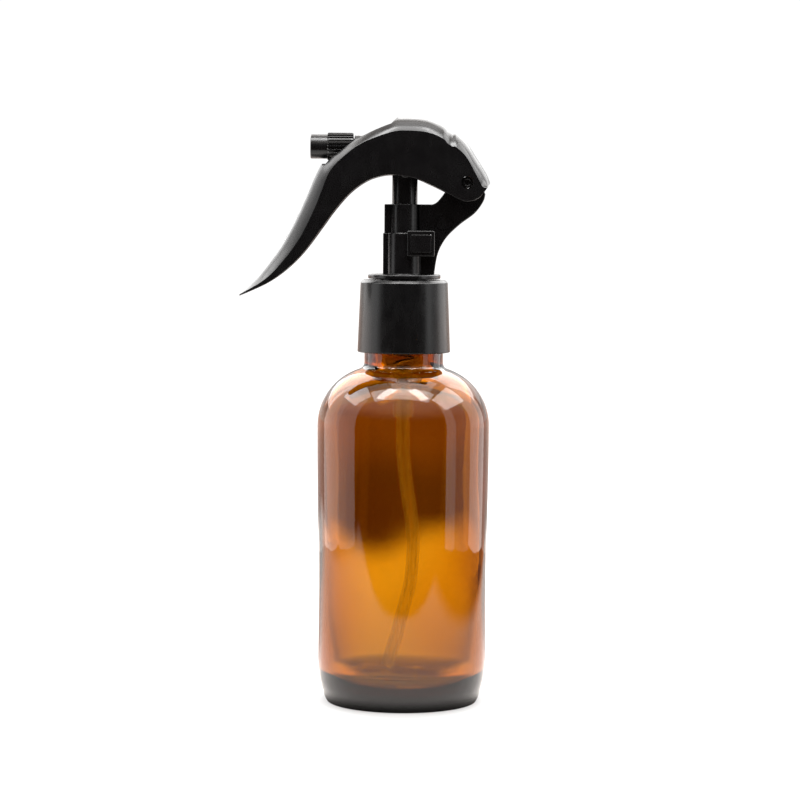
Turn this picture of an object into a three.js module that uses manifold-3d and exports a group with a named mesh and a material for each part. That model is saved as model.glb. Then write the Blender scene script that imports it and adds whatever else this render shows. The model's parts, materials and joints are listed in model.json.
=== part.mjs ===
// A 120 ml amber glass bottle with a mini trigger sprayer.
// Millimetres, +Z up. The origin is the middle of the bottle's underside, and the nozzle points
// towards -X. Heights are above the surface that the bottle stands on.
import * as THREE from 'three';
import { mergeVertices } from 'three/addons/utils/BufferGeometryUtils.js';
import Module from 'manifold-3d';

const wasm = await Module();
wasm.setup();

// ---------------------------------------------------------------- driving dimensions

const GAP = 0.3;                    // clearance between neighbouring pieces

// Bottle
const BOTTLE_R = 24.4;              // at the foot of the shoulder
const BOTTLE_LOW_R = 23.9;          // the wall narrows a little towards the heel
const BOTTLE_TOP = 112.5;
const HEEL_TOP = 12;
const FOOT_R = 21.4;
const SHOULDER_R = 17;
const SHOULDER_Z = 79;              // where the wall turns into the shoulder arc
const GLASS = 2.4;                  // wall thickness
const BASE_GLASS = 4;
const NECK_R = 11.15;
const NECK_TOP = 102.2;
const FINISH_R = 9.75;              // root of the screw thread
const THREAD_R = 10.85;             // crest of the screw thread
const THREAD_LEAD = 3.175;
const BORE_R = 7.5;

// Closure
const CLOSURE_LOW = 100.05;
const CLOSURE_TOP = 120.6;
const CLOSURE_LOW_R = 13.2;
const CLOSURE_TOP_R = 12.4;
const CLOSURE_INNER_R = THREAD_R + 0.4;
const CLOSURE_HOLE_R = 8.5;
const CLOSURE_ROOF = 2.3;

// Sprayer body
const RING_R = 10.3;                // the ring seen above the closure
const RING_LOW = CLOSURE_TOP + 0.35;
const RING_TOP = RING_LOW + 1.25;
const TURRET_R = 5.25;
const TURRET_STEP = 133.9;          // height of the step in the turret
const TURRET_UPPER_R = 4.3;
const TURRET_TOP = 142.1;
const TURRET_BORE_R = 3.9;
const ARM_HALF = 2.4;               // half the arm's thickness

// Pump, all on the bottle's axis
const HOUSING_R = 5.6;
const HOUSING_BORE_R = 4.4;
const HOUSING_FLANGE_R = 9.6;
const HOUSING_FLANGE_LOW = 113.8;
const HOUSING_TOP = 115;
const HOUSING_FLOOR = 94;           // where the return spring stands
const SEAT_Z = 88;                  // top of the inlet hole
const TUBE_TOP = SEAT_Z - 0.9;      // the dip tube's upper end in the housing's spigot
const INLET_BALL = { r: 1.5, z: SEAT_Z + 1.65 };
const OUTLET_BALL = { r: 1, z: 153.5 };
const SPIGOT_LOW = 81.5;
const TUBE_R = 1.9;
const TUBE_BORE_R = 1.2;
const STEM_R = 2;
const STEM_BORE_R = 1.1;
const STEM_LOW = 105.9;
const STEM_TOP = 152.4;
const PLUNGER_LOW = 99.3;
const SPRING_LOW = HOUSING_FLOOR + 0.75;
const SPRING_TOP = 103.5;
const SPRING_R = 2.9;
const SPRING_TURNS = 5;

// Spray head and nozzle
const SKIRT_R = TURRET_BORE_R - GAP;
const SKIRT_LOW = 136;
const NOZZLE_Z = 158.2;
const NOZZLE_TIP_X = -26.8;
const NOZZLE_RIB_X = -22;           // front end of the ribbed grip
const NOZZLE_BACK_X = -14.6;
const NOZZLE_R = 3.45;
const NOZZLE_RIB_R = 3.95;
const NOZZLE_RIBS = 24;
const BARREL_R = 2.5;               // head's barrel inside the nozzle cap
const TRUNNION = { x: 0.2, z: 151, r: 1.5 };

// Trigger lever
const PIVOT = { x: 17.6, z: 148.3 };
const PIN_R = 1.5;
const PIN_HOLE_R = PIN_R + GAP;
const LEVER_HALF = 6.9;             // half its width
const LEVER_WALL = 1.5;
const LEVER_CROWN = 3;              // how far the back bulges beyond the flat sides
const SLOT_HALF = NOZZLE_RIB_R + 0.6;

// Lock button
const LOCK = { x: 4.6, z: 131, boss: [7.8, 7.3], button: [5.8, 5], boss_half: 6.1 };
const LOCK_TRAVEL = 2.4;

// ---------------------------------------------------------------- shaping helpers

// A manifold-3d solid from a closed three.js geometry.
function solid(geometry) {
  const shell = geometry.index ? geometry : geometry.clone();
  shell.deleteAttribute('normal');
  shell.deleteAttribute('uv');
  const merged = mergeVertices(shell, 1e-4);
  const place = merged.attributes.position;
  const corner = [0, 1, 2].map(() => new THREE.Vector3());
  const triangles = [];
  let volume = 0;
  for (let i = 0; i < merged.index.count; i += 3) {
    const t = [0, 1, 2].map((k) => merged.index.getX(i + k));
    if (t[0] === t[1] || t[1] === t[2] || t[2] === t[0]) continue;
    t.forEach((vertex, k) => corner[k].fromBufferAttribute(place, vertex));
    volume += corner[0].dot(corner[1].clone().cross(corner[2]));
    triangles.push(t);
  }
  const outward = volume < 0 ? triangles.map((t) => [t[0], t[2], t[1]]) : triangles;
  return new wasm.Manifold(new wasm.Mesh({
    numProp: 3,
    vertProperties: new Float32Array(place.array),
    triVerts: new Uint32Array(outward.flat()),
  }));
}

function geometryOf(manifold) {
  const mesh = manifold.getMesh();
  const geometry = new THREE.BufferGeometry();
  geometry.setAttribute('position', new THREE.BufferAttribute(mesh.vertProperties, 3));
  geometry.setIndex(new THREE.BufferAttribute(mesh.triVerts, 1));
  geometry.computeVertexNormals();
  return geometry;
}

const join = (first, ...others) => others.reduce((all, one) => all.add(one), first);
const cut = (first, ...others) => others.reduce((all, one) => all.subtract(one), first);

// A body of revolution about Z from [radius, height] points. A ring's profile closes on itself.
function turned(profile, segments = 32, ring = true) {
  const points = profile.map(([r, z]) => new THREE.Vector2(r, z));
  if (ring) points.push(points[0].clone());
  return solid(new THREE.LatheGeometry(points, segments).rotateX(Math.PI / 2));
}

// A ring with square edges.
const ringOf = (inner, outer, low, high, segments = 32) =>
  turned([[inner, low], [outer, low], [outer, high], [inner, high]], segments);

// An upright round rod.
function rod(r, low, high, segments = 32) {
  const geometry = new THREE.CylinderGeometry(r, r, high - low, segments);
  return solid(geometry.rotateX(Math.PI / 2).translate(0, 0, (low + high) / 2));
}

// A round rod along Y, centred on y = 0.
function crossRod(r, half, x, z, segments = 24) {
  return solid(new THREE.CylinderGeometry(r, r, 2 * half, segments).translate(x, 0, z));
}

// A round rod along X.
function lengthRod(r, fromX, toX, z, segments = 24) {
  const geometry = new THREE.CylinderGeometry(r, r, Math.abs(toX - fromX), segments);
  return solid(geometry.rotateZ(Math.PI / 2).translate((fromX + toX) / 2, 0, z));
}

function block([x0, x1], [y0, y1], [z0, z1]) {
  const geometry = new THREE.BoxGeometry(x1 - x0, y1 - y0, z1 - z0);
  return solid(geometry.translate((x0 + x1) / 2, (y0 + y1) / 2, (z0 + z1) / 2));
}

// A plate standing in the XZ plane, cut to a side-view outline and centred on y = 0.
function plate(shape, half, curveSegments = 3) {
  const geometry = new THREE.ExtrudeGeometry(shape, {
    depth: 2 * half, bevelEnabled: false, curveSegments,
  });
  return solid(geometry.translate(0, 0, -half).rotateX(Math.PI / 2));
}

const at = (points) => points.map(([x, y]) => new THREE.Vector2(x, y));

// Points along an arc, angles in degrees, from the first angle to the last.
function arc(x, y, r, from, to, steps) {
  return Array.from({ length: steps + 1 }, (_, i) => {
    const angle = THREE.MathUtils.degToRad(from + (to - from) * i / steps);
    return [x + r * Math.cos(angle), y + r * Math.sin(angle)];
  });
}

// ---------------------------------------------------------------- bottle

// The helix of a screw thread about Z, sunk into the wall at both ends.
class ThreadPath extends THREE.Curve {
  constructor(radius, low, turns) {
    super();
    Object.assign(this, { radius, low, turns });
  }

  getPoint(t, target = new THREE.Vector3()) {
    const runOut = Math.min(1, 10 * t, 10 * (1 - t));
    const r = this.radius - 1.2 * (1 - runOut);
    const angle = 2 * Math.PI * this.turns * t;
    const z = this.low + THREAD_LEAD * this.turns * t;
    return target.set(r * Math.cos(angle), r * Math.sin(angle), z);
  }
}

function bottle() {
  const shoulderX = BOTTLE_R - SHOULDER_R;
  const fillet = 2;
  const turn = 72;                  // degrees of the shoulder arc before the neck fillet
  const neckFootZ = 97.1;
  const shoulder = (r, from, to, steps) => arc(shoulderX, SHOULDER_Z, r, from, to, steps);
  const outside = [
    [0, 0],
    [FOOT_R, 0],
    [FOOT_R + 0.7, 1.5],
    [FOOT_R + 1.5, 4],
    [FOOT_R + 2.1, 7],
    [BOTTLE_LOW_R, HEEL_TOP],
    [BOTTLE_LOW_R, 40],
    ...shoulder(SHOULDER_R, 0, turn, 9),
    ...arc(NECK_R + fillet, neckFootZ, fillet, 180 + turn, 180, 3),
    [NECK_R, NECK_TOP],
    [FINISH_R, NECK_TOP + 1.2],
    [FINISH_R, BOTTLE_TOP - 0.6],
    [FINISH_R - 0.6, BOTTLE_TOP],
    [BORE_R + 0.4, BOTTLE_TOP],
    [BORE_R, BOTTLE_TOP - 0.4],
  ];
  const inside = [
    [BORE_R, 98.5],
    [BORE_R + 0.6, 95.6],
    ...shoulder(SHOULDER_R - GLASS, turn - 6, 0, 7),
    [BOTTLE_LOW_R - GLASS, 40],
    ...arc(BOTTLE_LOW_R - GLASS - 5, BASE_GLASS + 5, 5, 0, -90, 4),
    [0, BASE_GLASS + 1],
  ];
  const glass = turned([...outside, ...inside], 36, false);
  const beadR = 0.8;
  const bead = new THREE.Shape().absarc(0, 0, beadR, 0, 2 * Math.PI);
  const thread = solid(new THREE.ExtrudeGeometry(bead, {
    extrudePath: new ThreadPath(THREAD_R - beadR, 105.2, 1.3),
    steps: 34, curveSegments: 4, bevelEnabled: false,
  }));
  return join(glass, thread);
}

// ---------------------------------------------------------------- closure and gasket

function closure() {
  return turned([
    [CLOSURE_INNER_R + 0.4, CLOSURE_LOW],
    [CLOSURE_LOW_R - 0.2, CLOSURE_LOW],
    [CLOSURE_LOW_R, CLOSURE_LOW + 0.3],
    [CLOSURE_TOP_R, CLOSURE_TOP - 0.9],
    [CLOSURE_TOP_R - 0.3, CLOSURE_TOP - 0.3],
    [CLOSURE_TOP_R - 0.9, CLOSURE_TOP],
    [CLOSURE_HOLE_R, CLOSURE_TOP],
    [CLOSURE_HOLE_R, CLOSURE_TOP - CLOSURE_ROOF],
    [CLOSURE_INNER_R, CLOSURE_TOP - CLOSURE_ROOF],
    [CLOSURE_INNER_R, NECK_TOP + 1.6],
    [CLOSURE_INNER_R + 0.4, NECK_TOP + 0.8],
  ], 40);
}

const gasket = () => ringOf(HOUSING_R + 0.4, 10.3, BOTTLE_TOP + GAP, HOUSING_FLANGE_LOW - GAP);

// ---------------------------------------------------------------- sprayer body

function armShape() {
  const shape = new THREE.Shape();
  shape.moveTo(TURRET_R - 0.8, RING_TOP - 0.2);
  shape.lineTo(8.5, RING_TOP - 0.2);
  shape.splineThru(at([[9.5, 128.2], [11.7, 132.5], [15.5, 136.3], [19.8, 139.6], [22.2, 142.9],
    [22.8, 145]]));
  shape.lineTo(21.9, 146.2);
  shape.lineTo(PIVOT.x + 3.7, PIVOT.z);
  shape.absarc(PIVOT.x, PIVOT.z, 3.7, 0.05, Math.PI - 0.3, false);
  shape.lineTo(11.4, 145.5);
  shape.splineThru(at([[10.1, 143.8], [7.9, TURRET_TOP - 0.1]]));
  shape.lineTo(TURRET_UPPER_R - 0.3, TURRET_TOP - 0.1);
  shape.lineTo(TURRET_UPPER_R - 0.3, TURRET_STEP);
  return shape;
}

function sprayerBody() {
  const flangeR = 10.2;             // the flange held under the closure's roof
  const neckR = CLOSURE_HOLE_R - GAP;
  const flangeTop = CLOSURE_TOP - CLOSURE_ROOF - GAP;
  const recessR = 6.8;
  const turret = turned([
    [recessR, HOUSING_TOP + 0.4],
    [flangeR, HOUSING_TOP + 0.4],
    [flangeR, flangeTop],
    [neckR, flangeTop],
    [neckR, RING_LOW],
    [RING_R, RING_LOW],
    [RING_R, RING_TOP - 0.2],
    [RING_R - 0.2, RING_TOP],
    [TURRET_R, RING_TOP],
    [TURRET_R, TURRET_STEP],
    [TURRET_UPPER_R, TURRET_STEP],
    [TURRET_UPPER_R, TURRET_TOP],
    [TURRET_BORE_R, TURRET_TOP],
    [TURRET_BORE_R, 118],
    [recessR, 117.2],
  ], 36);
  const frontRib = join(
    block([-6.1, -TURRET_BORE_R - 0.2], [-1.9, 1.9], [RING_TOP - 0.2, TURRET_STEP]),
    block([-5.75, -TURRET_BORE_R - 0.2], [-1.4, 1.4], [TURRET_STEP - 0.5, TURRET_TOP - 0.1]),
  );
  const [bossX, bossZ] = LOCK.boss.map((size) => size / 2);
  const boss = block([LOCK.x - bossX, LOCK.x + bossX], [-LOCK.boss_half, LOCK.boss_half],
    [LOCK.z - bossZ, LOCK.z + bossZ]);
  const [holeX, holeZ] = LOCK.button.map((size) => size / 2 + GAP);
  const lockHole = block([LOCK.x - holeX, LOCK.x + holeX], [-10, 10],
    [LOCK.z - holeZ, LOCK.z + holeZ]);
  const pivotBoss = crossRod(3.2, 3.4, PIVOT.x, PIVOT.z, 28);
  const body = join(turret, frontRib, plate(armShape(), ARM_HALF), boss, pivotBoss);
  return cut(body, rod(TURRET_BORE_R, 119, TURRET_TOP + 1, 36), lockHole,
    crossRod(PIN_HOLE_R, 20, PIVOT.x, PIVOT.z));
}

// The button slides across the body. Its notch lets the spray head's skirt pass while unlocked,
// and its solid end stands under the skirt when it is pushed over.
function lockButton() {
  const [halfX, halfZ] = LOCK.button.map((size) => size / 2);
  const nearEnd = LOCK.boss_half + GAP;
  const farEnd = nearEnd + LOCK_TRAVEL;
  const bar = block([-halfX, halfX], [-nearEnd, farEnd], [-halfZ, halfZ]);
  const notchR = TURRET_BORE_R + 0.1;
  const skirtNotch = rod(notchR, -10, 10, 32).translate([-LOCK.x, 0, 0]);
  const stemNotch = block([-10, 2.5 - LOCK.x], [-5.2, 5.2], [-10, 10]);
  return cut(bar, skirtNotch, stemNotch);
}

// ---------------------------------------------------------------- pump

function pumpHousing() {
  return turned([
    [TUBE_R + GAP, SPIGOT_LOW],
    [3, SPIGOT_LOW],
    [3, SEAT_Z - 2],
    [3.9, SEAT_Z - 1],
    [3.9, HOUSING_FLOOR - 2.4],
    [HOUSING_R, HOUSING_FLOOR - 0.8],
    [HOUSING_R, HOUSING_FLANGE_LOW],
    [HOUSING_FLANGE_R, HOUSING_FLANGE_LOW],
    [HOUSING_FLANGE_R, HOUSING_TOP],
    [HOUSING_BORE_R, HOUSING_TOP],
    [HOUSING_BORE_R, HOUSING_FLOOR],
    [2.4, HOUSING_FLOOR],
    [2.4, SEAT_Z + 1.6],
    [0.9, SEAT_Z],
    [0.9, TUBE_TOP + GAP],
    [TUBE_R + GAP, TUBE_TOP + GAP],
  ], 28);
}

function retainingCollar() {
  const neckR = TURRET_BORE_R - 0.4;
  return turned([
    [STEM_R + GAP, 113.4],
    [HOUSING_BORE_R - GAP, 113.4],
    [HOUSING_BORE_R - GAP, HOUSING_TOP + GAP],
    [6.4, HOUSING_TOP + GAP],
    [6.4, 116.7],
    [neckR, 117.4],
    [neckR, 123],
    [2.9, 123],
    [2.9, 120],
    [STEM_R + GAP, 119.4],
  ], 28);
}

const stemSeal = () => ringOf(STEM_R + 0.2, 2.9 - 0.2, 120.5, 122.2, 24);

// The bore narrows at the top, where the outlet ball sits.
function pumpStem() {
  return turned([
    [STEM_BORE_R, STEM_LOW],
    [STEM_R, STEM_LOW],
    [STEM_R, STEM_TOP],
    [0.6, STEM_TOP],
    [0.6, STEM_TOP - 0.8],
    [STEM_BORE_R, STEM_TOP - 1.6],
  ], 20);
}

function plunger() {
  return turned([
    [0, PLUNGER_LOW],
    [1.5, PLUNGER_LOW],
    [1.8, PLUNGER_LOW + 0.5],
    [1.8, SPRING_TOP + 0.6],
    [3.7, SPRING_TOP + 0.6],
    [3.7, STEM_LOW - 0.4],
    [STEM_BORE_R - GAP, STEM_LOW - 0.4],
    [STEM_BORE_R - GAP, STEM_LOW + 3],
    [0, STEM_LOW + 3],
  ], 20, false);
}

function piston() {
  const lipR = HOUSING_BORE_R - 0.15;
  return turned([
    [STEM_R + GAP, 106.2],
    [3.2, 106.2],
    [lipR, 105.9],
    [lipR, 106.9],
    [3.6, 107.6],
    [3.6, 109.8],
    [lipR, 110.5],
    [lipR, 111.4],
    [3.1, 111.1],
    [STEM_R + GAP, 111.1],
  ], 24);
}

// The centre line of the return spring, a helix about Z.
class Coil extends THREE.Curve {
  getPoint(t, target = new THREE.Vector3()) {
    const angle = 2 * Math.PI * SPRING_TURNS * t;
    const z = SPRING_LOW + (SPRING_TOP - SPRING_LOW) * t;
    return target.set(SPRING_R * Math.cos(angle), SPRING_R * Math.sin(angle), z);
  }
}

function returnSpring() {
  const wire = new THREE.Shape().absarc(0, 0, 0.4, 0, 2 * Math.PI);
  return solid(new THREE.ExtrudeGeometry(wire, {
    extrudePath: new Coil(), steps: 14 * SPRING_TURNS, curveSegments: 3, bevelEnabled: false,
  }));
}

const ball = (r) => solid(new THREE.SphereGeometry(r, 12, 8));

// A ring pressed in above the inlet ball limits its lift.
const ballStop = () => ringOf(1, 2.1, SEAT_Z + 4.4, SEAT_Z + 5.4, 20);

// The tube hangs from the housing's spigot and bows inside the bottle.
function dipTube() {
  const route = [[0, TUBE_TOP], [0, 80], [0.1, 71], [1, 61], [2.3, 52], [3, 44], [2.4, 34.3], [0.7, 27],
    [-1.4, 18.4], [-4.2, 9.6]];
  const path = new THREE.CatmullRomCurve3(route.map(([x, z]) => new THREE.Vector3(x, 0, z)));
  const section = new THREE.Shape().absarc(0, 0, TUBE_R, 0, 2 * Math.PI);
  section.holes.push(new THREE.Path().absarc(0, 0, TUBE_BORE_R, 0, 2 * Math.PI, true));
  return solid(new THREE.ExtrudeGeometry(section, {
    extrudePath: path, steps: 26, curveSegments: 5, bevelEnabled: false,
  }));
}

// ---------------------------------------------------------------- spray head and nozzle

function sprayHead() {
  const boreR = SKIRT_R - 0.9;
  const socketZ = 146;
  const skirt = rod(SKIRT_R, SKIRT_LOW, 151, 28);
  const tower = block([-4.2, 3.9], [-3.2, 3.2], [150.2, 161.6]);
  const shoulder = lengthRod(3.3, -3.8, NOZZLE_BACK_X + GAP, NOZZLE_Z);
  const barrel = lengthRod(BARREL_R, -10, NOZZLE_TIP_X + 1.6, NOZZLE_Z);
  const trunnions = crossRod(TRUNNION.r, LEVER_HALF - LEVER_WALL - GAP, TRUNNION.x, TRUNNION.z);
  const sealGroove = cut(lengthRod(3, -17, -18.8, NOZZLE_Z), lengthRod(1.8, -16, -20, NOZZLE_Z));
  return cut(
    join(skirt, tower, shoulder, barrel, trunnions),
    rod(boreR, SKIRT_LOW - 1, socketZ, 28),
    rod(STEM_R + GAP, socketZ - 0.5, STEM_TOP + 0.4, 24),
    rod(1.3, STEM_TOP + GAP, 155.6, 20),
    rod(0.8, 155.5, NOZZLE_Z, 16),
    lengthRod(0.8, 0, -24, NOZZLE_Z, 16),
    lengthRod(1.7, NOZZLE_TIP_X + 1, NOZZLE_TIP_X + 4, NOZZLE_Z, 20),
    sealGroove,
  );
}

// Pieces of the nozzle stand on their own axis, with +Z towards the orifice. Their group lays
// that axis along -X, with its zero at the back end of the cap.
const NOZZLE_LENGTH = NOZZLE_BACK_X - NOZZLE_TIP_X;
const GRIP_LENGTH = NOZZLE_BACK_X - NOZZLE_RIB_X;

function nozzleCap() {
  const boreR = BARREL_R + GAP;
  const rib = Math.PI / NOZZLE_RIBS;
  const outline = new THREE.Shape();
  for (let i = 0; i < NOZZLE_RIBS; i += 1) {
    const angle = 2 * i * rib;
    for (const [r, a] of [[NOZZLE_RIB_R, 0], [NOZZLE_RIB_R, rib], [NOZZLE_RIB_R - 0.35, 1.25 * rib],
      [NOZZLE_RIB_R - 0.35, 1.75 * rib]]) {
      const place = [r * Math.cos(angle + a), r * Math.sin(angle + a)];
      if (i === 0 && a === 0) outline.moveTo(...place);
      else outline.lineTo(...place);
    }
  }
  const grip = solid(new THREE.ExtrudeGeometry(outline, {
    depth: GRIP_LENGTH, bevelEnabled: false,
  }));
  const tube = rod(NOZZLE_R, 1, NOZZLE_LENGTH, 28);
  const bore = rod(boreR, -1, NOZZLE_LENGTH - 1.3, 28);
  const orifice = turned([[0, NOZZLE_LENGTH - 2], [0.3, NOZZLE_LENGTH - 2],
    [0.3, NOZZLE_LENGTH - 0.8], [1.3, NOZZLE_LENGTH + 0.1], [0, NOZZLE_LENGTH + 0.1]], 16, false);
  return cut(join(grip, tube), bore, orifice);
}

function swirlInsert() {
  const front = NOZZLE_LENGTH - 1.6;
  const grooves = [0, 60, 120].map((angle) =>
    block([-2, 2], [-0.2, 0.2], [front - 0.4, front + 1]).rotate([0, 0, angle]));
  return cut(rod(1.4, front - 2, front, 20), ...grooves);
}

const nozzleSeal = () => ringOf(2.05, 2.6, 2.7, 3.9, 20);

// ---------------------------------------------------------------- trigger lever

// The lever's back, from the finger tip over the nozzle to the rear corner.
const LEVER_BACK = [[-46.9, 116.6], [-43.4, 119.5], [-40.5, 122.6], [-35.4, 129.5], [-31.6, 136.4],
  [-28.4, 143.4], [-24, 153.3], [-18.4, 158.3], [-11.2, 162.9], [-4.3, 166], [0, 166.6],
  [6.5, 166.1], [12, 163.7], [17, 160], [20.6, 154.8], [23.2, 150.6], [24.2, 148.2]];

// The lower edge of its flat sides, from the rear corner round the pivot and back to the tip.
const LEVER_EDGE = [[22.1, 145.3], [20.6, 143.7], [18, 142.9], [15.7, 143.3], [11.4, 145.5],
  [7.4, 147.4], [2.5, 149.4], [-3.3, 150.2], [-7.3, 149.7], [-11.1, 148.2], [-15.4, 145],
  [-19.7, 140.1], [-23.6, 134.7], [-28.5, 128.1], [-33.4, 123.2], [-38.8, 119.4], [-46.7, 115.8]];

function leverSide() {
  const shape = new THREE.Shape();
  shape.moveTo(...LEVER_BACK[0]);
  shape.splineThru(at(LEVER_BACK.slice(1)));
  shape.lineTo(...LEVER_EDGE[0]);
  shape.splineThru(at(LEVER_EDGE.slice(1)));
  return shape;
}

// The same back closed by a wide loop well inside the edge, so that rounding it over touches the
// back alone.
function leverBlank() {
  const shape = new THREE.Shape();
  shape.moveTo(...LEVER_BACK[0]);
  shape.splineThru(at(LEVER_BACK.slice(1)));
  for (const corner of [[26, 136], [0, 136], [-20, 116], [-36, 108], [-49, 108]]) {
    shape.lineTo(...corner);
  }
  return shape;
}

// The blank between y = -half and half, its outline rounded over by the crown and drawn in by
// inset.
function crowned(half, inset) {
  const roll = half * 0.72;
  const geometry = new THREE.ExtrudeGeometry(leverBlank(), {
    depth: 2 * (half - roll), curveSegments: 2, bevelEnabled: true, bevelThickness: roll,
    bevelSize: LEVER_CROWN, bevelOffset: -LEVER_CROWN - inset, bevelSegments: 4,
  });
  return solid(geometry.translate(0, 0, roll - half).rotateX(Math.PI / 2));
}

// Seen from above, the finger part narrows to a round tip.
function leverPlan(half, tipX, tipHalf) {
  const shape = new THREE.Shape();
  const r = tipHalf;
  shape.moveTo(40, -half);
  shape.lineTo(40, half);
  shape.lineTo(-24, half);
  shape.lineTo(tipX + r, tipHalf);
  shape.absarc(tipX + r, 0, r, Math.PI / 2, 1.5 * Math.PI, false);
  shape.lineTo(-24, -half);
  const geometry = new THREE.ExtrudeGeometry(shape, {
    depth: 90, bevelEnabled: false, curveSegments: 8,
  });
  return solid(geometry.translate(0, 0, 90));
}

function triggerLever() {
  const side = plate(leverSide(), LEVER_HALF + 1, 2);
  const outside = crowned(LEVER_HALF, 0).intersect(side)
    .intersect(leverPlan(LEVER_HALF, -47.2, 4.6));
  const innerHalf = LEVER_HALF - LEVER_WALL;
  const cavity = crowned(innerHalf, LEVER_WALL).intersect(leverPlan(innerHalf, -41, 3));
  const nozzleSlot = block([-34, -4.3], [-SLOT_HALF, SLOT_HALF], [153.3, 175]);
  const pushRib = block([TRUNNION.x - 1.8, TRUNNION.x + 1.8], [3.7, innerHalf + 0.5],
    [TRUNNION.z + TRUNNION.r + GAP, 162]);
  const shell = cut(outside, cavity, nozzleSlot, crossRod(PIN_HOLE_R, 20, PIVOT.x, PIVOT.z));
  return join(shell, pushRib, pushRib.mirror([0, 1, 0]));
}

// ---------------------------------------------------------------- assembly

const BLACK = { color: 0x161617, roughness: 0.38, metalness: 0 };
const AMBER = { color: 0x8a4508, roughness: 0.06, metalness: 0 };
const CLEAR = { color: 0xcfc7b8, roughness: 0.3, metalness: 0 };
const WHITE = { color: 0xe4e4e0, roughness: 0.45, metalness: 0 };
const STEEL = { color: 0x9a9ca0, roughness: 0.3, metalness: 1 };
const RUBBER = { color: 0x2a2a2b, roughness: 0.75, metalness: 0 };

function piece(name, manifold, finish, position = [0, 0, 0]) {
  const mesh = new THREE.Mesh(geometryOf(manifold), new THREE.MeshStandardMaterial(finish));
  mesh.name = name;
  mesh.position.set(...position);
  return mesh;
}

const pump = new THREE.Group().add(
  piece('pump_housing', pumpHousing(), WHITE),
  piece('retaining_collar', retainingCollar(), WHITE),
  piece('stem_seal', stemSeal(), RUBBER),
  piece('pump_stem', pumpStem(), WHITE),
  piece('plunger', plunger(), WHITE),
  piece('piston', piston(), CLEAR),
  piece('return_spring', returnSpring(), STEEL),
  piece('inlet_ball', ball(INLET_BALL.r), STEEL, [0, 0, INLET_BALL.z]),
  piece('ball_stop', ballStop(), WHITE),
  piece('dip_tube', dipTube(), CLEAR),
);

const nozzle = new THREE.Group().add(
  piece('nozzle_cap', nozzleCap(), BLACK),
  piece('swirl_insert', swirlInsert(), WHITE),
  piece('nozzle_seal', nozzleSeal(), RUBBER),
);
nozzle.position.set(NOZZLE_BACK_X, 0, NOZZLE_Z);
nozzle.rotation.y = -Math.PI / 2;

const head = new THREE.Group().add(
  piece('spray_head', sprayHead(), BLACK),
  piece('outlet_ball', ball(OUTLET_BALL.r), STEEL, [0, 0, OUTLET_BALL.z]),
  nozzle,
);

const sprayer = new THREE.Group().add(
  piece('gasket', gasket(), CLEAR),
  piece('closure', closure(), BLACK),
  piece('sprayer_body', sprayerBody(), BLACK),
  piece('lock_button', lockButton(), BLACK, [LOCK.x, 0, LOCK.z]),
  piece('trigger_lever', triggerLever(), BLACK),
  piece('pivot_pin', crossRod(PIN_R, LEVER_HALF - 0.5, 0, 0), BLACK, [PIVOT.x, 0, PIVOT.z]),
  pump, head,
);

const sprayBottle = new THREE.Group().add(piece('bottle', bottle(), AMBER), sprayer);
sprayBottle.name = 'spray_bottle';

export default sprayBottle;
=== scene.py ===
import json
import math

import bmesh
import bpy
from mathutils import Matrix, Quaternion, Vector

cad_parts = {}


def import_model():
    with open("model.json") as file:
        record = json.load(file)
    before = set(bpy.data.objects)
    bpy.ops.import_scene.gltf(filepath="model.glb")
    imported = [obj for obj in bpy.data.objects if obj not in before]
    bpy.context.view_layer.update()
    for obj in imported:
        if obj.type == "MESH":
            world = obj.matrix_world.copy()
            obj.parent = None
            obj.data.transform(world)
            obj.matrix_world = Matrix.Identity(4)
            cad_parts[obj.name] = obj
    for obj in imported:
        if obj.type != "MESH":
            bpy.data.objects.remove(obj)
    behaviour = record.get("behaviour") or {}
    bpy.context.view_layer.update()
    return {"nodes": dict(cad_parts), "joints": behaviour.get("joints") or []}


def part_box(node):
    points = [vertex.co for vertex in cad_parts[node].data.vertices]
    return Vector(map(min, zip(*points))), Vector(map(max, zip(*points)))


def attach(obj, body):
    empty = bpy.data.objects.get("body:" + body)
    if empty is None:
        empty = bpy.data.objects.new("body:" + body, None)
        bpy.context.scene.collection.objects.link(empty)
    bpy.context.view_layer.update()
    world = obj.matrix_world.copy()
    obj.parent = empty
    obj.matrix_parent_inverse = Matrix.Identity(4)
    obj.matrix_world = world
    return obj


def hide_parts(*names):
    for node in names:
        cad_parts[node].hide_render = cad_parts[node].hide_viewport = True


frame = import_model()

MM = 0.001
COLLECTION = bpy.context.scene.collection

# Shapes below are drawn in millimetres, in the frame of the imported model.


def box_mm(node):
    """The corners of a CAD node's box, in millimetres."""
    low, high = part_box(node)
    return Vector(low) / MM, Vector(high) / MM


# ---------------------------------------------------------------- curves and profiles

def arc(cx, cy, r, start, end, steps):
    """Points along an arc, angles in degrees."""
    turn = [math.radians(start + (end - start) * i / steps) for i in range(steps + 1)]
    return [(cx + r * math.cos(a), cy + r * math.sin(a)) for a in turn]


def smooth(points, steps=6):
    """A Catmull-Rom curve through the points."""
    ends = [points[0], *points, points[-1]]
    out = []
    for i in range(len(points) - 1):
        p0, p1, p2, p3 = (Vector(p) for p in ends[i:i + 4])
        for k in range(steps):
            t = k / steps
            out.append(tuple(0.5 * (2 * p1 + (p2 - p0) * t + (2 * p0 - 5 * p1 + 4 * p2 - p3) * t ** 2
                                    + (3 * p1 - p0 - 3 * p2 + p3) * t ** 3)))
    return [*out, tuple(points[-1])]


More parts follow.
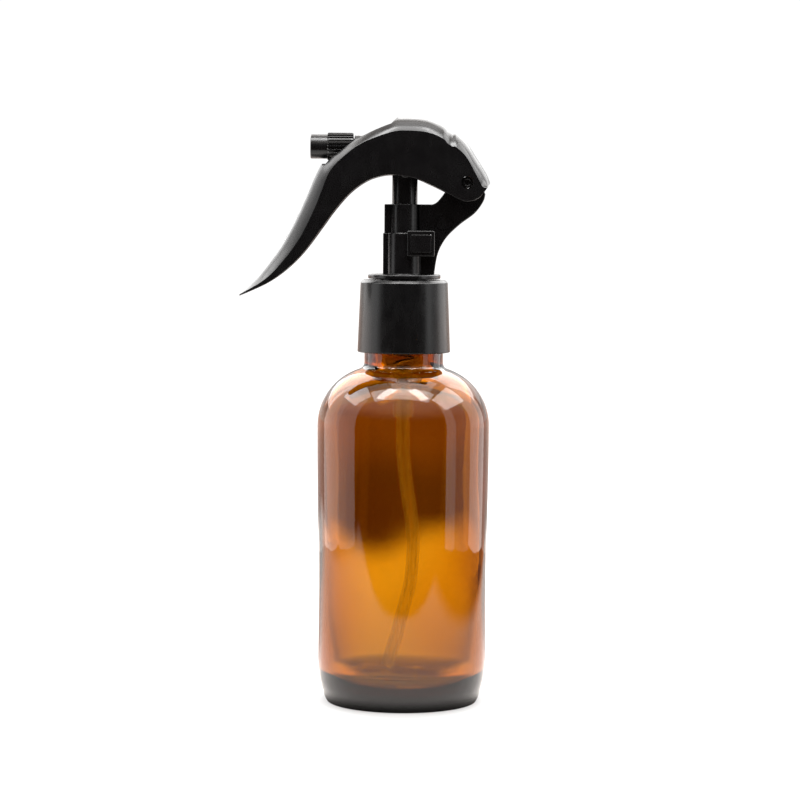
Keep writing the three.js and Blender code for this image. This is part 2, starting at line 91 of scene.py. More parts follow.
def rounded(corners, steps=4, closed=True):
    """A polygon's points. A corner (x, y, radius) is rounded, and a corner (x, y) stays."""
    out = []
    count = len(corners)
    for i, corner in enumerate(corners):
        here = Vector(corner[:2])
        if len(corner) < 3 or (not closed and i in (0, count - 1)):
            out.append(tuple(here))
            continue
        back = Vector(corners[i - 1][:2]) - here
        on = Vector(corners[(i + 1) % count][:2]) - here
        half = back.angle(on) / 2
        reach = min(corner[2] / math.tan(half), 0.48 * back.length, 0.48 * on.length)
        r = reach * math.tan(half)
        centre = here + (back.normalized() + on.normalized()).normalized() * (r / math.sin(half))
        first = here + back.normalized() * reach - centre
        last = here + on.normalized() * reach - centre
        sweep = first.angle_signed(last)
        for k in range(steps + 1):
            turned = first.copy()
            turned.rotate(Matrix.Rotation(-sweep * k / steps, 2))
            out.append(tuple(centre + turned))
    return out


# ---------------------------------------------------------------- solids

def grid(rows, closed_rows=False, closed_columns=True):
    """A bmesh with a quad between neighbouring points of neighbouring rows."""
    bm = bmesh.new()
    made = [[bm.verts.new(p) for p in row] for row in rows]
    width = len(rows[0])
    for i in range(len(rows) if closed_rows else len(rows) - 1):
        one, two = made[i], made[(i + 1) % len(rows)]
        for j in range(width if closed_columns else width - 1):
            k = (j + 1) % width
            bm.faces.new((one[j], one[k], two[k], two[j]))
    return bm


def tidy(bm):
    """Merges doubled points and turns every face outwards."""
    bmesh.ops.remove_doubles(bm, verts=bm.verts, dist=1e-4)
    bmesh.ops.dissolve_degenerate(bm, edges=bm.edges, dist=1e-5)
    bmesh.ops.recalc_face_normals(bm, faces=bm.faces)
    return bm


def lathe(profile, segments=96, ring=True, change=None):
    """A body of revolution about Z from (radius, height) points. change(r, z, angle) may move a point."""
    rows = []
    for r, z in profile:
        row = []
        for j in range(segments):
            a = 2 * math.pi * j / segments
            radius, height = change(r, z, a) if change and r > 1e-6 else (r, z)
            row.append((radius * math.cos(a), radius * math.sin(a), height))
        rows.append(row)
    return tidy(grid(rows, closed_rows=ring))


def along(bm, axis, at=(0, 0, 0)):
    """Lays a body that stands along Z along another axis, then moves it."""
    turns = {"Z": Matrix.Identity(4), "X": Matrix.Rotation(math.pi / 2, 4, "Y"),
             "-X": Matrix.Rotation(-math.pi / 2, 4, "Y"), "Y": Matrix.Rotation(-math.pi / 2, 4, "X")}
    bmesh.ops.transform(bm, matrix=Matrix.Translation(at) @ turns[axis], verts=bm.verts)
    return bm


def rod(r, low, high, edge=0.0, segments=64):
    """A round rod along Z with rounded ends."""
    if edge:
        profile = rounded([(0, low), (r, low, edge), (r, high, edge), (0, high)], closed=False)
    else:
        profile = [(0, low), (r, low), (r, high), (0, high)]
    return lathe(profile, segments, ring=False)


def prism(outline, low, high, axis="Z", edge=0.0, steps=3):
    """An outline pushed along an axis, with its end edges rounded. Along Y the outline is (x, z)."""
    place = {"Z": lambda a, b, c: (a, b, c), "Y": lambda a, b, c: (a, c, b),
             "X": lambda a, b, c: (c, a, b)}[axis]
    bm = bmesh.new()
    one, two = ([bm.verts.new(place(a, b, c)) for a, b in outline] for c in (low, high))
    caps = [bm.faces.new(one), bm.faces.new(two)]
    for j in range(len(outline)):
        k = (j + 1) % len(outline)
        bm.faces.new((one[j], one[k], two[k], two[j]))
    bmesh.ops.recalc_face_normals(bm, faces=bm.faces)
    if edge:
        rim = list({e for face in caps for e in face.edges})
        bmesh.ops.bevel(bm, geom=rim, offset=edge, segments=steps, profile=0.5, affect="EDGES",
                        clamp_overlap=False)
    return tidy(bm)


def rectangle(x0, x1, y0, y1, r=0.3, steps=4):
    """A rectangle's outline with rounded corners."""
    return rounded([(x0, y0, r), (x1, y0, r), (x1, y1, r), (x0, y1, r)], steps)


def plain_object(bm, name):
    """An object with the bmesh as its mesh. The bmesh is used up."""
    mesh = bpy.data.meshes.new(name)
    bm.to_mesh(mesh)
    bm.free()
    obj = bpy.data.objects.new(name, mesh)
    COLLECTION.objects.link(obj)
    return obj


def combine(first, joined=(), removed=()):
    """One solid from a first one, others joined to it, and others cut from it."""
    target = plain_object(first, "solid")
    others = []
    for operation, solids in (("UNION", joined), ("DIFFERENCE", removed)):
        for bm in solids:
            other = plain_object(bm, "tool")
            modifier = target.modifiers.new("combine", "BOOLEAN")
            modifier.operation = operation
            modifier.solver = "EXACT"
            modifier.object = other
            others.append(other)
    graph = bpy.context.evaluated_depsgraph_get()
    result = bmesh.new()
    result.from_object(target, graph)
    for obj in [target, *others]:
        mesh = obj.data
        bpy.data.objects.remove(obj)
        bpy.data.meshes.remove(mesh)
    return tidy(result)


def piece(bm, name, body, node, material, sharp=34, weighted=False):
    """The finished visible piece, in metres, riding on its body in place of its CAD node."""
    bmesh.ops.scale(bm, vec=(MM, MM, MM), verts=bm.verts)
    for face in bm.faces:
        face.smooth = True
    for edge in bm.edges:
        edge.smooth = len(edge.link_faces) == 2 and edge.calc_face_angle() < math.radians(sharp)
    obj = plain_object(bm, name)
    if weighted:
        modifier = obj.modifiers.new("normals", "WEIGHTED_NORMAL")
        modifier.keep_sharp = True
        modifier.weight = 80
    obj.data.materials.append(material)
    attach(obj, body)
    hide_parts(node)
    return obj


# ---------------------------------------------------------------- materials

def new_material(name):
    material = bpy.data.materials.new(name)
    material.use_nodes = True
    tree = material.node_tree
    return material, tree, tree.nodes["Principled BSDF"]


def noise(tree, scale, detail=3.0, stretch=(1, 1, 1), rough=0.5):
    """A noise texture fixed to the piece, in features per metre."""
    place = tree.nodes.new("ShaderNodeTexCoord")
    mapping = tree.nodes.new("ShaderNodeMapping")
    mapping.inputs["Scale"].default_value = stretch
    texture = tree.nodes.new("ShaderNodeTexNoise")
    texture.inputs["Scale"].default_value = scale
    texture.inputs["Detail"].default_value = detail
    texture.inputs["Roughness"].default_value = rough
    tree.links.new(place.outputs["Object"], mapping.inputs["Vector"])
    tree.links.new(mapping.outputs["Vector"], texture.inputs["Vector"])
    return texture.outputs["Fac"]


def spread(tree, source, low, high, start=0.3, end=0.7):
    """A texture's values between start and end, spread over low to high."""
    node = tree.nodes.new("ShaderNodeMapRange")
    node.interpolation_type = "SMOOTHSTEP"
    tree.links.new(source, node.inputs["Value"])
    for socket, value in (("From Min", start), ("From Max", end), ("To Min", low), ("To Max", high)):
        node.inputs[socket].default_value = value
    return node.outputs["Result"]


def tint(tree, source, dark, light):
    """A colour between dark and light, led by a texture's value."""
    node = tree.nodes.new("ShaderNodeMix")
    node.data_type = "RGBA"
    tree.links.new(source, node.inputs["Factor"])
    node.inputs["A"].default_value = (*dark, 1)
    node.inputs["B"].default_value = (*light, 1)
    return node.outputs["Result"]


def bump(tree, source, depth, strength=1.0, under=None):
    """A normal for a height map. depth is in metres, and under is the normal below it."""
    node = tree.nodes.new("ShaderNodeBump")
    node.inputs["Distance"].default_value = depth
    node.inputs["Strength"].default_value = strength
    tree.links.new(source, node.inputs["Height"])
    if under is not None:
        tree.links.new(under, node.inputs["Normal"])
    return node.outputs["Normal"]


def moulded(name, dark, light, rough, grain=4200, grain_depth=6e-6, sink_depth=5e-5):
    """Moulded plastic: a little uneven in tone and gloss, with a fine grain and faint sinks."""
    material, tree, shader = new_material(name)
    patches = noise(tree, 230, 4)
    tree.links.new(tint(tree, spread(tree, patches, 0, 1), dark, light), shader.inputs["Base Color"])
    smears = noise(tree, 520, 5, (1, 1, 0.35))
    tree.links.new(spread(tree, smears, *rough), shader.inputs["Roughness"])
    sinks = bump(tree, noise(tree, 90, 2), sink_depth, 0.6)
    fine = bump(tree, noise(tree, grain, 2), grain_depth, 0.8, sinks)
    tree.links.new(fine, shader.inputs["Normal"])
    shader.inputs["IOR"].default_value = 1.49
    return material


def steel_material(name):
    """Drawn steel with fine lines along it."""
    material, tree, shader = new_material(name)
    lines = noise(tree, 900, 3, (1, 1, 6))
    tree.links.new(tint(tree, lines, (0.42, 0.42, 0.44), (0.66, 0.66, 0.68)),
                   shader.inputs["Base Color"])
    tree.links.new(spread(tree, lines, 0.16, 0.34), shader.inputs["Roughness"])
    tree.links.new(bump(tree, lines, 4e-6, 0.5), shader.inputs["Normal"])
    shader.inputs["Metallic"].default_value = 1.0
    return material


def amber_material():
    """Amber container glass: clear, with a slightly wavy skin."""
    material, tree, shader = new_material("amber_glass")
    shader.inputs["Base Color"].default_value = (1, 1, 1, 1)
    shader.inputs["Transmission Weight"].default_value = 1.0
    shader.inputs["IOR"].default_value = 1.5
    tree.links.new(spread(tree, noise(tree, 300, 4), 0.0, 0.03), shader.inputs["Roughness"])
    waves = bump(tree, noise(tree, 55, 1.5, (1, 1, 0.45)), 1.6e-4, 0.5)
    ripple = bump(tree, noise(tree, 420, 2), 6e-6, 0.5, waves)
    tree.links.new(ripple, shader.inputs["Normal"])
    depth = tree.nodes.new("ShaderNodeVolumeAbsorption")
    depth.inputs["Color"].default_value = (0.846, 0.686, 0.02, 1)
    depth.inputs["Density"].default_value = 1300
    tree.links.new(depth.outputs["Volume"], tree.nodes["Material Output"].inputs["Volume"])
    return material


def clear_plastic(name, alpha):
    """Translucent polyethylene with faint drawn lines along it."""
    material, tree, shader = new_material(name)
    lines = noise(tree, 700, 3, (1, 1, 0.08))
    tree.links.new(tint(tree, lines, (0.86, 0.83, 0.76), (0.95, 0.93, 0.88)),
                   shader.inputs["Base Color"])
    tree.links.new(spread(tree, lines, 0.22, 0.4), shader.inputs["Roughness"])
    tree.links.new(bump(tree, lines, 1e-5, 0.5), shader.inputs["Normal"])
    shader.inputs["Transmission Weight"].default_value = 0.85
    shader.inputs["IOR"].default_value = 1.45
    shader.inputs["Alpha"].default_value = alpha
    return material


BLACK = moulded("black_plastic", (0.004, 0.0038, 0.0042), (0.006, 0.0058, 0.0062), (0.2, 0.28))
CAP_BLACK = moulded("black_plastic_cap", (0.003, 0.003, 0.0033), (0.005, 0.005, 0.0053),
                    (0.24, 0.3), grain=3000)
WHITE = moulded("white_plastic", (0.74, 0.74, 0.72), (0.82, 0.82, 0.8), (0.34, 0.46))
NATURAL = moulded("natural_plastic", (0.7, 0.67, 0.6), (0.8, 0.78, 0.72), (0.3, 0.42))
SEAL = moulded("seal_rubber", (0.02, 0.02, 0.022), (0.04, 0.04, 0.042), (0.6, 0.75), 2600, 1.5e-5)
STEEL = steel_material("steel")
AMBER = amber_material()
TUBE = clear_plastic("tube_plastic", 0.22)
MILKY = clear_plastic("natural_plastic_clear", 0.14)


# ---------------------------------------------------------------- bottle

BOTTLE_LOW, BOTTLE_HIGH = box_mm("bottle")
WALL_R = BOTTLE_HIGH.x
LOW_R = WALL_R - 0.5
FOOT_R = 21.4
HEEL_TOP = 12.0
SHOULDER_Z = 79.0
SHOULDER_R = 17.0
NECK_R = 11.15
FINISH_R = 9.75
BORE_R = 7.5
GLASS = 2.4
THREAD_LOW = 105.2
THREAD_LEAD = 3.175
THREAD_TURNS = 1.3
THREAD_HALF = 1.15                  # half the height of the thread's ridge
THREAD_FADE = 9                     # the thread runs out over a ninth of a turn
KNURLS = 36                         # the small marks on the ring that the bottle stands on
SEAM_HALF = 0.9                     # half the width of the mould seam
SEAM_DEPTH = 0.05
BASE_GLASS = 4.4
THREAD_DEPTH = 1.1


def thread_at(z, angle):
    """How far the screw thread stands out at a height and angle."""
    out = 0.0
    for lap in range(3):
        turn = angle / (2 * math.pi) + lap
        if turn <= THREAD_TURNS:
            fade = min(1.0, turn * THREAD_FADE, (THREAD_TURNS - turn) * THREAD_FADE)
            off = abs(z - THREAD_LOW - THREAD_LEAD * turn)
            rise = max(0.0, 1 - (off / THREAD_HALF) ** 2)
            out = max(out, THREAD_DEPTH * min(1.0, 1.5 * rise) * fade * (rise > 0))
    return out


def outer_skin(r, z, angle):
    """The thread on the neck, the marks under the foot and the two mould seams."""
    if FINISH_R - 0.01 < r < FINISH_R + 0.01 and z > 103:
        return r + thread_at(z, angle), z
    if z < 0.02 and 19.4 < r < 21.2:
        return r, z + 0.09 * (1 - math.cos(KNURLS * angle))
    seam = min(abs(math.sin(angle)) * r, 1.0)
    return (r + SEAM_DEPTH * max(0.0, 1 - seam / SEAM_HALF) if z > 1 else r), z


def inner_skin(r, z, angle):
    """Blown glass is never even inside."""
    swell = (0.10 * math.sin(3 * angle + 0.07 * z) + 0.07 * math.sin(5 * angle - 0.11 * z + 1)
             + 0.05 * math.sin(2 * angle + 0.23 * z + 2))
    if z > 84:
        swell += 0.16 * math.sin(4 * angle + 0.5 * z) * min(1, (z - 84) / 6) * (z < 99)
    return r + swell * (0.25 if z > 99 else 1), z


def bottle():
    """One closed wall of glass, drawn from the middle of the base out, up, and back down inside."""
    turn = math.degrees(math.acos((NECK_R + 2 - (WALL_R - SHOULDER_R)) / (SHOULDER_R + 2)))
    shoulder_x = WALL_R - SHOULDER_R
    neck_z = SHOULDER_Z + (SHOULDER_R + 2) * math.sin(math.radians(turn))

    def wall(z):
        t = max(0.0, min(1.0, (z - 30) / (SHOULDER_Z - 30)))
        return LOW_R + (WALL_R - LOW_R) * t * t * (3 - 2 * t)

    heel = smooth([(FOOT_R, 0.12), (FOOT_R + 0.7, 1.5), (FOOT_R + 1.5, 4), (FOOT_R + 2.1, 7),
                   (LOW_R, HEEL_TOP)], 5)
    outside = [(0, 1.5), (6, 1.45), (12, 1.2), (16, 0.75), (18.4, 0.2), (19.0, 0), (19.5, 0),
               (20.0, 0), (20.5, 0), (21.0, 0), (21.25, 0.03), *heel,
               *[(wall(z), z) for z in (16, 22, 28, 34, 40, 46, 52, 58, 64, 70, 75)],
               *arc(shoulder_x, SHOULDER_Z, SHOULDER_R, 0, turn, 26),
               *arc(NECK_R + 2, neck_z, 2, 180 + turn, 180, 6)[1:],
               *rounded([(NECK_R, 99), (NECK_R, 102.4, 0.7), (FINISH_R, 103, 0.5), (FINISH_R, 103.6)],
                        3, closed=False)[1:],
               *[(FINISH_R, 103.9 + 0.3 * i) for i in range(27)],
               *rounded([(FINISH_R, 112), (FINISH_R, BOTTLE_HIGH.z, 0.6), (BORE_R, BOTTLE_HIGH.z, 0.6),
                         (BORE_R, 111)], 4, closed=False)[1:-1]]
    inner_r = SHOULDER_R - GLASS
    heel_r = 6
    inside = [(BORE_R, z) for z in (111, 108, 105, 102, 100)]
    inside += smooth([(BORE_R, 98.8), (7.75, 97), (8.7, 95.1), (10.6, 93.75)], 4)
    inside += arc(shoulder_x, SHOULDER_Z, inner_r, turn - 8, 0, 18)
    inside += [(wall(z) - GLASS, z) for z in (74, 68, 62, 56, 50, 44, 38, 32, 26, 20, 15)]
    inside += arc(LOW_R - GLASS - heel_r, BASE_GLASS + heel_r, heel_r, 0, -90, 10)
    inside += [(10, BASE_GLASS + 0.2), (5, BASE_GLASS + 0.45), (0, BASE_GLASS + 0.5)]
    split = len(outside)
    skins = {}
    for i, (r, z) in enumerate([*outside, *inside]):
        skins[(round(r, 6), round(z, 6))] = i < split

    def change(r, z, angle):
        if z > 110.9 or (r < 15 and z < 6):
            return r, z
        return (outer_skin if skins[(round(r, 6), round(z, 6))] else inner_skin)(r, z, angle)

    bm = lathe([*outside, *inside], 180, ring=False, change=change)
    return piece(bm, "bottle_glass", "bottle", "bottle", AMBER, sharp=60)


# ---------------------------------------------------------------- closure, gasket and body

CLOSURE_LOW, CLOSURE_HIGH = box_mm("closure")


def closure():
    low, top = CLOSURE_LOW.z, CLOSURE_HIGH.z
    low_r, top_r = 13.2, 12.4
    inner = 11.25
    profile = rounded([(inner + 0.4, low, 0.2), (low_r, low, 0.35), (top_r, top - 0.75, 0.3),
                       (top_r - 0.75, top, 0.3), (8.5, top, 0.2), (8.5, top - 2.3),
                       (inner, top - 2.3, 0.5), (inner, 103.8), (inner + 0.4, 103)], 4)
    return piece(lathe(profile, 144), "screw_closure", "closure", "closure",
                 CAP_BLACK)


def gasket():
    low, high = box_mm("gasket")
    profile = rounded([(6, low.z, 0.15), (high.x, low.z, 0.15), (high.x, high.z, 0.15),
                       (6, high.z, 0.15)], 3)
    return piece(lathe(profile), "neck_gasket", "gasket", "gasket", NATURAL)


PIVOT = Vector(next(j["pos_m"] for j in frame["joints"] if j["name"] == "trigger_squeeze")) / MM
LOCK_X, LOCK_Z = 4.6, 131.0
LOCK_HALF = (2.9, 2.5)              # half the lock button's width and height
LOCK_GAP = 0.1
ARM_HALF = 2.4


def round_lock(extra, corner):
    """A rounded rectangle round the lock button's middle."""
    across, up = LOCK_HALF[0] + extra, LOCK_HALF[1] + extra
    return rectangle(LOCK_X - across, LOCK_X + across, LOCK_Z - up, LOCK_Z + up, corner)


def sprayer_body():
    bore, turret_r, upper_r = 3.9, 5.25, 4.3
    ring_low, ring_top, step, top = 120.95, 122.2, 133.9, 142.1
    turret = lathe(rounded([
        (6.8, 115.4), (10.2, 115.4, 0.2), (10.2, 118, 0.2), (8.2, 118, 0.1), (8.2, ring_low, 0.1),
        (10.3, ring_low, 0.3), (10.3, ring_top, 0.35), (turret_r, ring_top, 0.25),
        (turret_r, step, 0.25), (upper_r, step, 0.15), (upper_r, top, 0.14), (bore, top, 0.1),
        (bore, 118), (6.8, 117.2)], 4), 96)
    arm_outline = [(turret_r - 0.8, ring_top - 0.2), (8.5, ring_top - 0.2)]
    arm_outline += smooth([(8.6, 123.2), (9.5, 128.2), (11.7, 132.5), (15.5, 136.3), (19.8, 139.6),
                           (22.2, 142.9), (22.8, 145)], 6)
    arm_outline += [(22.5, 145.8), (21.9, 146.3)]
    arm_outline += arc(PIVOT.x, PIVOT.z, 3.7, 2, 163, 18)
    arm_outline += smooth([(11.4, 145.5), (10.1, 143.8), (9.0, 142.6), (7.9, top - 0.05)], 5)
    arm_outline += [(upper_r - 0.3, top - 0.05), (upper_r - 0.3, step)]
    arm = prism(arm_outline, -ARM_HALF, ARM_HALF, "Y", 0.4, 4)
    ribs = [prism(rectangle(-6.1, -3.6, -1.9, 1.9, 0.4), ring_top - 0.2, step, "Z", 0.25),
            prism(rectangle(-5.75, -3.8, -1.4, 1.4, 0.4), step - 0.5, top - 0.05, "Z", 0.25)]
    boss = prism(rectangle(LOCK_X - 3.9, LOCK_X + 3.9, LOCK_Z - 3.65, LOCK_Z + 3.65, 0.45), -6.1, 6.1,
                 "Y", 0.35, 4)
    pivot_boss = along(rod(3.2, -3.4, 3.4, 0.3, 72), "Y", (PIVOT.x, 0, PIVOT.z))
    cuts = [rod(bore, 119, top + 1, segments=96),
            prism(round_lock(LOCK_GAP, 0.4), -10, 10, "Y"),
            along(rod(1.8, -8, 8, segments=48), "Y", (PIVOT.x, 0, PIVOT.z))]
    # A faint oval mark with a dot, left by the mould on both sides of the arm.
    for low, high in ((2.28, 2.7), (-2.7, -2.28)):
        oval = lathe(rounded([(2.55, low), (2.95, low), (2.95, high), (2.55, high)], 2), 72)
        bmesh.ops.scale(oval, vec=(1, 0.72, 1), verts=oval.verts)
        cuts += [along(oval, "Y", (10.9, 0, 136.8)),
                 along(rod(0.5, low, high, segments=32), "Y", (8.9, 0, 137.3))]
    bm = combine(turret, [*ribs, arm, boss, pivot_boss], cuts)
    return piece(bm, "body_moulding", "pump_unit", "sprayer_body", BLACK,
                 weighted=True)


def lock_button():
    low, high = box_mm("lock_button")
    bar = prism(round_lock(0, 0.35), low.y, high.y, "Y", 0.16, 3)
    cuts = [rod(4.0, LOCK_Z - 5, LOCK_Z + 5, segments=96),
            prism(rectangle(LOCK_X - 6, 2.5, -5.2, 5.2, 0.2), LOCK_Z - 5, LOCK_Z + 5, "Z")]
    return piece(combine(bar, (), cuts), "lock_slider", "lock", "lock_button",
                 BLACK, weighted=True)


# ---------------------------------------------------------------- spray head and nozzle

NOZZLE_LOW, NOZZLE_HIGH = box_mm("nozzle_cap")
NOZZLE_Z = (NOZZLE_LOW.z + NOZZLE_HIGH.z) / 2


def spray_head():
    skirt = lathe(rounded([(2.7, 136), (3.6, 136, 0.3), (3.6, 151, 0.2), (0, 151)], 4,
                          closed=False) + [(0, 146), (2.7, 146)], 96)
    tower = prism(rectangle(-4.2, 3.9, -3.2, 3.2, 0.7), 150.2, 161.6, "Z", 0.5, 4)
    shoulder = along(rod(3.3, 0, 10.5, 0.3), "-X", (-3.8, 0, NOZZLE_Z))
    barrel = along(rod(2.5, 0, 15.2, 0.3), "-X", (-10, 0, NOZZLE_Z))
    trunnions = along(rod(1.5, -5.1, 5.1, 0.25, 48), "Y", (0.2, 0, 151))
    cuts = [rod(2.3, 145.5, 152.8, segments=48), rod(1.3, 152.7, 155.6, segments=48),
            rod(0.8, 155.5, NOZZLE_Z, segments=32),
            along(rod(0.8, 0, 26, segments=32), "-X", (0, 0, NOZZLE_Z)),
            along(rod(1.7, 0, 3.4, segments=48), "-X", (-22.8, 0, NOZZLE_Z)),
            along(lathe([(1.8, 0), (3, 0), (3, 1.8), (1.8, 1.8)], 64), "-X", (-17, 0, NOZZLE_Z))]
    bm = combine(skirt, [tower, shoulder, barrel, trunnions], cuts)
    return piece(bm, "head_moulding", "head", "spray_head", BLACK, weighted=True)


def nozzle_cap():
    length = NOZZLE_HIGH.x - NOZZLE_LOW.x
    grip = 7.4
    ribs, per_rib = 24, 8
    rib_r, tube_r, bore_r = 3.95, 3.45, 2.8

    def ribbed(r, a, angle):
        if r > tube_r + 0.05 and a < grip + 0.05:
            wave = math.cos(ribs * angle)
            low = 0.36 * (0.5 - 0.5 * max(-1.0, min(1.0, 1.9 * wave)))
            return r - low * min(1.0, (r - tube_r) / 0.3), a
        return r, a

    profile = [(bore_r, 0), (rib_r - 0.4, 0), (rib_r - 0.12, 0.08), (rib_r, 0.35),
               *[(rib_r, 0.35 + 1.1 * i) for i in range(1, 6)], (rib_r, grip - 0.5),
               (rib_r - 0.08, grip - 0.15), (rib_r - 0.3, grip), (tube_r + 0.02, grip + 0.02)]
    profile += rounded([(tube_r, grip + 0.1), (tube_r, length, 0.35), (1.5, length, 0.12),
                        (1.3, length - 0.35, 0.1), (0.35, length - 0.8, 0.05),
                        (0.3, length - 2), (1, length - 2)], 4, closed=False)
    profile += [(bore_r, length - 2), (bore_r, length / 2)]
    bm = along(lathe(profile, ribs * per_rib, change=ribbed), "-X", (NOZZLE_HIGH.x, 0, NOZZLE_Z))
    return piece(bm, "nozzle_grip", "nozzle", "nozzle_cap", BLACK, sharp=40)


# ---------------------------------------------------------------- trigger lever

LEVER_HALF = 6.9
LEVER_WALL = 1.5
CROWN = 3.9                         # how far the back bulges beyond the flat sides
CAVITY_CROWN = 0.62                 # the cavity's crown as a share of the outer one
GROOVE = 0.55                       # depth of the groove behind the nozzle slot
SLOT_HALF = 4.55
TAPER_X = -24                       # where the lever starts to narrow towards its tip
# The back's and the edge's outlines, from the finger tip to the hinge, point by point across.
BACK = [(-46.9, 116.6), (-43.4, 119.5), (-40.5, 122.6), (-35.4, 129.5), (-31.6, 136.4),
        (-28.4, 143.4), (-24, 153.3), (-18.4, 158.3), (-11.2, 162.9), (-4.3, 166), (0, 166.6),
        (6.5, 166.1), (12, 163.7), (17, 160), (20.6, 154.8), (23.2, 150.6), (24.2, 148.2)]
EDGE = [(-46.7, 115.8), (-38.8, 119.4), (-33.4, 123.2), (-28.5, 128.1), (-23.6, 134.7),
        (-19.7, 140.1), (-15.4, 145), (-11.1, 148.2), (-7.3, 149.7), (-3.3, 150.2), (2.5, 149.4),
        (7.4, 147.4), (11.4, 145.5), (15.7, 143.3), (18, 142.9), (20.6, 143.7), (22.1, 145.3)]


def taper(x, half, tip, tip_half):
    """Half the width in plan: it narrows towards a round finger tip."""
    centre = tip + tip_half
    if x >= TAPER_X:
        return half
    if x >= centre:
        return tip_half + (half - tip_half) * (x - centre) / (TAPER_X - centre)
    return math.sqrt(max(0.02, tip_half ** 2 - (centre - x) ** 2))


def crown_at(x):
    """The crown is flatter beside the nozzle slot."""
    return CROWN * (1 - 0.3 * math.exp(-((x + 15) / 8) ** 2))


def lever_blank(back, edge, half, crown, inset, bottom, tip, tip_half, lip, groove=0.0):
    """A lofted bar whose back is crowned, by a share of the full crown. inset and bottom move its
    back and edge along the section, and a groove crosses the back behind the nozzle slot."""
    rows = []
    for (bx, bz), (ex, ez) in zip(back, edge):
        top = inset + (groove if 11.5 < bx < 13.9 else 0)
        reach = math.hypot(ex - bx, ez - bz)
        ux, uz = (ex - bx) / reach, (ez - bz) / reach
        drop = min(crown * crown_at(bx), 0.5 * reach)
        radius = (half ** 2 + drop ** 2) / (2 * drop)
        end = reach + bottom
        side = []
        for k in range(13):
            y = half * (k / 12) ** 0.85
            side.append((y, top + radius - math.sqrt(radius ** 2 - y ** 2)))
        y, t = side.pop()
        small = min(1.0, reach / 3)
        side += [(half - 0.14 * small, t - 0.10 * small), (half - 0.03 * small, t + 0.05 * small),
                 (half, t + 0.28 * small)]
        low = max(end, t + 0.4 * reach)
        turn = min(lip, 0.4 * (low - t))
        side += [(half, t + (low - turn - t) * f) for f in (0.35, 0.7)]
        side += [(half, low - turn), (half - 0.3 * turn, low - 0.3 * turn), (half - turn, low)]
        full = [(-y, t) for y, t in side[:0:-1]] + side
        row = []
        for y, t in full:
            x, z = bx + ux * t, bz + uz * t
            row.append((x, y * taper(x, half, tip, tip_half) / half, z))
        rows.append(row)
    bm = grid(rows)
    bm.verts.ensure_lookup_table()
    width = len(rows[0])
    bm.faces.new(bm.verts[:width])
    bm.faces.new(bm.verts[-width:])
    return tidy(bm)


def lever():
    back, edge = smooth(BACK, 7), smooth(EDGE, 7)
    outer = lever_blank(back, edge, LEVER_HALF, 1, 0, 0, -47.2, 4.6, 0.4, GROOVE)
    inner_half = LEVER_HALF - LEVER_WALL
    start = next(i for i, p in enumerate(back) if p[0] > -41.5)
    across = (Vector(edge[-1]) - Vector(back[-1])).normalized() * 2.5

    def onward(points):
        """The cavity starts behind the finger tip and runs out past the hinge end."""
        x, z = points[-1]
        return [*points[start:], (x - across.y, z + across.x)]

    cavity = lever_blank(onward(back), onward(edge), inner_half, CAVITY_CROWN, LEVER_WALL, 1,
                         -41, 3, 0.1)
    # The slot's rear end leans back towards the top of the crown.
    slot = prism([(-34, 153.3), (-4.3, 153.3), (-4.3, 164.4), (-2.4, 166.4), (-2.4, 175), (-34, 175)],
                 -SLOT_HALF, SLOT_HALF, "Y")
    pin_hole = along(rod(1.7, -8, 8, segments=48), "Y", (PIVOT.x, 0, PIVOT.z))
    ribs = [prism(rectangle(-1.6, 2.0, 152.8, 162, 0.3), low, high, "Y", 0.2)
            for low, high in ((3.7, 5.9), (-5.9, -3.7))]
    bm = combine(combine(outer, (), [cavity, slot, pin_hole]), ribs)
    return piece(bm, "lever_moulding", "trigger", "trigger_lever", BLACK, sharp=28,
                 weighted=True)


def pivot_pin():
    low, high = box_mm("pivot_pin")
    half = high.y - 0.35            # its ends lie a little inside the lever's sides
    profile = rounded([(0, -half + 0.2), (0.8, -half + 0.2, 0.1), (1, -half, 0.1),
                       (1.62, -half, 0.1), (1.62, half, 0.1), (1, half, 0.1),
                       (0.8, half - 0.2, 0.1), (0, half - 0.2)], 3, closed=False)
    bm = along(lathe(profile, 48, ring=False), "Y", (PIVOT.x, 0, PIVOT.z))
    return piece(bm, "hinge_pin", "pump_unit", "pivot_pin", BLACK)


# ---------------------------------------------------------------- pump and dip tube

def pump_housing():
    profile = rounded([
        (2.2, 81.5, 0.1), (3, 81.5, 0.3), (3, 86, 0.4), (3.9, 87, 0.4), (3.9, 91.6, 0.5),
        (5.6, 93.2, 0.5), (5.6, 113.8, 0.2), (9.6, 113.8, 0.2), (9.6, 115, 0.2), (4.4, 115, 0.2),
        (4.4, 94), (2.4, 94), (2.4, 89.6), (0.9, 88), (0.9, 87.4), (2.2, 87.4)], 4)
    return piece(lathe(profile, 96), "pump_barrel", "pump_unit", "pump_housing",
                 MILKY)


